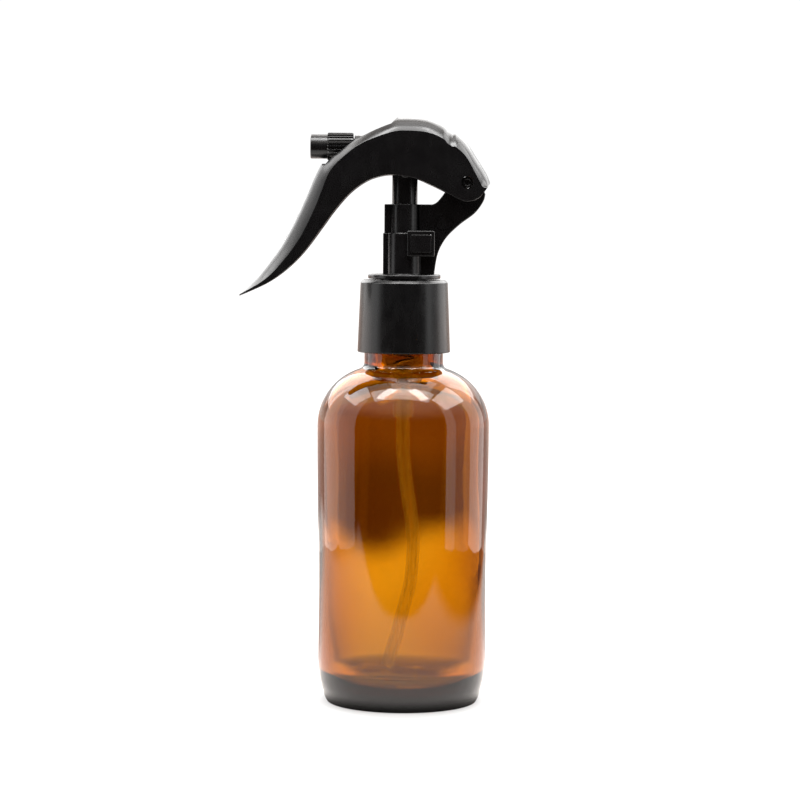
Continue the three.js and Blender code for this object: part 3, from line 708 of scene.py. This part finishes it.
def dip_tube():
    bore_r, outer_r, sides = 1.2, 1.9, 32
    route = [(0, 87.1), (0, 80), (0.1, 71), (1, 61), (2.3, 52), (3, 44), (2.4, 34.3), (0.7, 27),
             (-1.4, 18.4), (-4.2, 9.6)]
    path = smooth(route, 8)
    rows = []
    for wanted in (outer_r, bore_r):
        part = []
        for i, (x, z) in enumerate(path):
            x0, z0 = path[max(i - 1, 0)]
            x1, z1 = path[min(i + 1, len(path) - 1)]
            size = math.hypot(x1 - x0, z1 - z0)
            nx, nz = (z1 - z0) / size, -(x1 - x0) / size
            part.append([(x + nx * wanted * math.cos(a), wanted * math.sin(a),
                          z + nz * wanted * math.cos(a))
                         for a in (2 * math.pi * j / sides for j in range(sides))])
        rows.append(part)
    outer, inner = rows
    bm = tidy(grid([*outer, *inner[::-1]], closed_rows=True))
    return piece(bm, "dip_tube_drawn", "pump_unit", "dip_tube", TUBE, sharp=50)


bottle()
closure()
gasket()
sprayer_body()
lock_button()
spray_head()
nozzle_cap()
lever()
pivot_pin()
pump_housing()
dip_tube()

# The pieces inside the pump, head and nozzle keep their CAD shape and take a finish each.
INNER = {"retaining_collar": WHITE, "stem_seal": SEAL, "pump_stem": WHITE, "plunger": WHITE,
         "piston": NATURAL, "return_spring": STEEL, "inlet_ball": STEEL, "outlet_ball": STEEL,
         "ball_stop": WHITE, "swirl_insert": WHITE, "nozzle_seal": SEAL}
for node, finish in INNER.items():
    data = frame["nodes"][node].data
    if data.materials:
        data.materials[0] = finish
    else:
        data.materials.append(finish)


# ---------------------------------------------------------------- floor, light and camera

def link(tree, *pairs):
    """Joins each output to its input."""
    for source, target in pairs:
        tree.links.new(source, target)


def maths(tree, operation, a, b=None):
    """One arithmetic node. Each input is a number or another node's output."""
    node = tree.nodes.new("ShaderNodeMath")
    node.operation = operation
    for socket, value in zip(node.inputs, (a, b)):
        if value is None:
            continue
        if isinstance(value, (int, float)):
            socket.default_value = value
        else:
            tree.links.new(value, socket)
    return node.outputs[0]


def ramp(tree, value, start, end, low=0.0, high=1.0):
    """A smooth ramp from low to high as a value goes from start to end."""
    return spread(tree, value, low, high, start, end)


def floor():
    """Pale to the camera, with a painted contact shadow under the bottle. To the glass and the plastic it
    glows as a painted pool of light in a dim room, with painted shadow under and behind the bottle.
    """
    half = 8.0
    bm = grid([[(-half, -half, 0), (half, -half, 0)], [(-half, half, 0), (half, half, 0)]],
              closed_columns=False)
    obj = plain_object(bm, "floor")
    material = bpy.data.materials.new("floor")
    material.use_nodes = True
    tree = material.node_tree
    tree.nodes.clear()
    place = tree.nodes.new("ShaderNodeTexCoord").outputs["Object"]
    split = tree.nodes.new("ShaderNodeSeparateXYZ")
    link(tree, (place, split.inputs[0]))
    x, y = split.outputs["X"], split.outputs["Y"]
    # The glowing sheet that the bottle stands on is a painted pool of light and ends a little way out;
    # the room beyond is a dim, warm painted glow. On the sheet the painted light falls off towards the
    # corners behind the bottle.
    painted_light_pool = maths(tree, "MULTIPLY", ramp(tree, y, -0.21, -0.185), ramp(tree, y, 0.46, 0.31))
    painted_light_pool = maths(tree, "MULTIPLY", painted_light_pool, ramp(tree, x, -0.36, -0.28))
    painted_light_pool = maths(tree, "MULTIPLY", painted_light_pool, ramp(tree, x, 0.21, 0.15))
    distance = tree.nodes.new("ShaderNodeVectorMath")
    distance.operation = "LENGTH"
    link(tree, (place, distance.inputs[0]))
    reach = distance.outputs["Value"]
    sideways = maths(tree, "ABSOLUTE", maths(tree, "ADD", x, maths(tree, "MULTIPLY", y, 0.05)))
    azimuth = maths(tree, "ARCTAN2", sideways, maths(tree, "MULTIPLY", y, -1.0))
    # The sheet's front is painted brighter close to the bottle, and its rear brighter further out.
    front = maths(tree, "MULTIPLY", ramp(tree, reach, 0.03, 0.16, 1.9, 1.3),
                  ramp(tree, azimuth, 2.75, 2.45))
    rear = maths(tree, "MULTIPLY", ramp(tree, reach, 0.03, 0.28, 1.0, 1.95),
                 ramp(tree, azimuth, 2.6, 3.02, 0.3, 1.0))
    rear = maths(tree, "MULTIPLY", rear, ramp(tree, azimuth, 2.45, 2.75))
    # Painted cast shadow: the rear of the sheet is painted darker within a few centimetres of the bottle.
    rear = maths(tree, "MULTIPLY", rear, ramp(tree, reach, 0.02, 0.09, 0.1, 1.0))
    # Painted contact shadow: the glow is painted almost black under the bottle's foot.
    painted_shadow_under = ramp(tree, reach, 0.021, 0.028, 0.05, 1.0)
    painted_light_pool = maths(tree, "MULTIPLY", maths(tree, "MULTIPLY", painted_light_pool, maths(tree, "ADD", front, rear)), painted_shadow_under)
    sheet = tree.nodes.new("ShaderNodeEmission")
    sheet.inputs["Color"].default_value = (1, 0.97, 0.94, 1)
    dim = tree.nodes.new("ShaderNodeEmission")
    dim.inputs["Color"].default_value = (1, 0.55, 0.36, 1)
    room = tree.nodes.new("ShaderNodeAddShader")
    beyond = maths(tree, "MULTIPLY", maths(tree, "ADD", ramp(tree, y, -0.15, 0.15, 0.03, 0.29),
                                          ramp(tree, y, 0.55, 1.0, 0.0, 0.25)), painted_shadow_under)
    link(tree, (painted_light_pool, sheet.inputs["Strength"]), (beyond, dim.inputs["Strength"]),
         (sheet.outputs[0], room.inputs[0]), (dim.outputs[0], room.inputs[1]))
    pale = tree.nodes.new("ShaderNodeBsdfDiffuse")
    pale.inputs["Color"].default_value = (0.22, 0.22, 0.22, 1)
    white = tree.nodes.new("ShaderNodeEmission")
    far = ramp(tree, reach, 0.2, 1.2, 0.0, 0.14)
    oval = tree.nodes.new("ShaderNodeVectorMath")
    oval.operation = "LENGTH"
    squashed = tree.nodes.new("ShaderNodeVectorMath")
    squashed.operation = "MULTIPLY"
    squashed.inputs[1].default_value = (1.4, 1, 1)
    link(tree, (place, squashed.inputs[0]), (squashed.outputs[0], oval.inputs[0]))
    # Painted contact shadow: the camera's white glow is painted darker in an oval just round the bottle's
    # foot.
    painted_contact_shadow = ramp(tree, oval.outputs["Value"], 0.025, 0.042, 0.4, 0.86)
    link(tree, (maths(tree, "ADD", far, painted_contact_shadow), white.inputs["Strength"]))
    seen = tree.nodes.new("ShaderNodeAddShader")
    link(tree, (pale.outputs[0], seen.inputs[0]), (white.outputs[0], seen.inputs[1]))
    mix = tree.nodes.new("ShaderNodeMixShader")
    out = tree.nodes.new("ShaderNodeOutputMaterial")
    link(tree, (tree.nodes.new("ShaderNodeLightPath").outputs["Is Camera Ray"], mix.inputs[0]),
         (room.outputs[0], mix.inputs[1]), (seen.outputs[0], mix.inputs[2]),
         (mix.outputs[0], out.inputs["Surface"]))
    obj.data.materials.append(material)


def world():
    """White to the camera, and a soft warm room to everything else."""
    made = bpy.data.worlds.new("studio")
    bpy.context.scene.world = made
    made.use_nodes = True
    tree = made.node_tree
    tree.nodes.clear()
    place = tree.nodes.new("ShaderNodeTexCoord").outputs["Generated"]
    split = tree.nodes.new("ShaderNodeSeparateXYZ")
    link(tree, (place, split.inputs[0]))
    behind = maths(tree, "MULTIPLY", ramp(tree, split.outputs["Y"], -0.25, 0.65, 0.02, 0.5),
                   ramp(tree, split.outputs["Z"], 0.04, 0.16, 1.0, 0.5))
    above = ramp(tree, split.outputs["Z"], 0.25, 0.8, 0.0, 1.1)
    room = tree.nodes.new("ShaderNodeBackground")
    room.inputs["Color"].default_value = (1, 0.93, 0.87, 1)
    link(tree, (maths(tree, "ADD", behind, above), room.inputs["Strength"]))
    white = tree.nodes.new("ShaderNodeBackground")
    white.inputs["Color"].default_value = (1, 1, 1, 1)
    white.inputs["Strength"].default_value = 1.05
    mix = tree.nodes.new("ShaderNodeMixShader")
    out = tree.nodes.new("ShaderNodeOutputWorld")
    link(tree, (tree.nodes.new("ShaderNodeLightPath").outputs["Is Camera Ray"], mix.inputs[0]),
         (room.outputs[0], mix.inputs[1]), (white.outputs[0], mix.inputs[2]),
         (mix.outputs[0], out.inputs["Surface"]))


def softbox(name, place, aim, width, height, radiance):
    """A rectangular area light that faces a point and isn't seen itself."""
    data = bpy.data.lights.new(name, "AREA")
    data.shape = "RECTANGLE"
    data.size, data.size_y = width, height
    data.energy = radiance * math.pi * width * height
    obj = bpy.data.objects.new(name, data)
    COLLECTION.objects.link(obj)
    obj.location = place
    obj.rotation_mode = "QUATERNION"
    obj.rotation_quaternion = (Vector(aim) - Vector(place)).to_track_quat("-Z", "Y")
    obj.visible_camera = False
    return obj


def polar(azimuth, elevation, distance, centre=(0, 0, 0.08)):
    """A point round the object. Azimuth 0 is on the camera's side and 90 is at +X."""
    a, e = math.radians(azimuth), math.radians(elevation)
    return (centre[0] + distance * math.cos(e) * math.sin(a),
            centre[1] - distance * math.cos(e) * math.cos(a), centre[2] + distance * math.sin(e))


MIDDLE = (0, 0, 0.09)
UPRIGHT_REACH = 0.33
UPRIGHT_HEIGHT = 0.44
UPRIGHT_MIDDLE = (0, 0, 0.22)
floor()
world()
# Upright boxes stand round the sides and the back. Each one spans a range of azimuths, and its last
# number is its radiance.
UPRIGHT = [("left_box", -94, -66, 1.3), ("left_rear_box", -130, -94, 1.7),
           ("back_left_box", -168, -130, 0.4), ("right_box", 58, 73, 1.3),
           ("right_side_box", 73, 99, 0.5), ("right_rear_box", 99, 135, 1.8),
           ("back_right_box", 135, 168, 0.4)]
for name, start, end, radiance in UPRIGHT:
    place = polar((start + end) / 2, 0, UPRIGHT_REACH, UPRIGHT_MIDDLE)
    width = 2 * UPRIGHT_REACH * math.tan(math.radians(end - start) / 2)
    softbox(name, place, UPRIGHT_MIDDLE, width, UPRIGHT_HEIGHT, radiance)

softbox("top_box", (0.1, 0.0, 0.85), MIDDLE, 0.6, 0.5, 2.0)
softbox("back_top_box", (0, 0.5, 0.45), (0, 0, 0.15), 0.9, 0.6, 0.8)
softbox("left_back_top_box", polar(-145, 30, 0.45, (0, 0, 0.12)), (0, 0, 0.12), 0.3, 0.36, 2.6)
softbox("right_back_top_box", polar(156, 33, 0.55, (0, 0, 0.15)), (0, 0, 0.15), 0.5, 0.38, 3.0)
softbox("left_top_box", polar(-98, 46, 0.7), MIDDLE, 0.4, 0.3, 5.0)
softbox("right_top_box", polar(88, 44, 0.7), MIDDLE, 0.5, 0.3, 6.0)
softbox("front_top_box", polar(-4, 72, 0.7), MIDDLE, 0.84, 0.3, 5.0)
softbox("front_left_strip", polar(-50, 67, 0.7), MIDDLE, 0.12, 0.30, 12.0)
softbox("front_right_strip", polar(44, 67, 0.7), MIDDLE, 0.12, 0.30, 12.0)

# The camera stands where the photo's did, a little above the bottle and rolled by 0.4 degrees.
camera_data = bpy.data.cameras.new("camera")
camera_data.lens = 123.4
camera_data.sensor_width = 36
camera = bpy.data.objects.new("camera", camera_data)
COLLECTION.objects.link(camera)
camera.location = (-0.00097, -0.780, 0.143)
aim = Vector((-0.00097, 0, 0.08634))
camera.rotation_mode = "QUATERNION"
camera.rotation_quaternion = ((aim - camera.location).to_track_quat("-Z", "Y")
                              @ Quaternion((0, 0, 1), math.radians(0.4)))
bpy.context.scene.camera = camera
bpy.context.scene.view_settings.view_transform = "Standard"
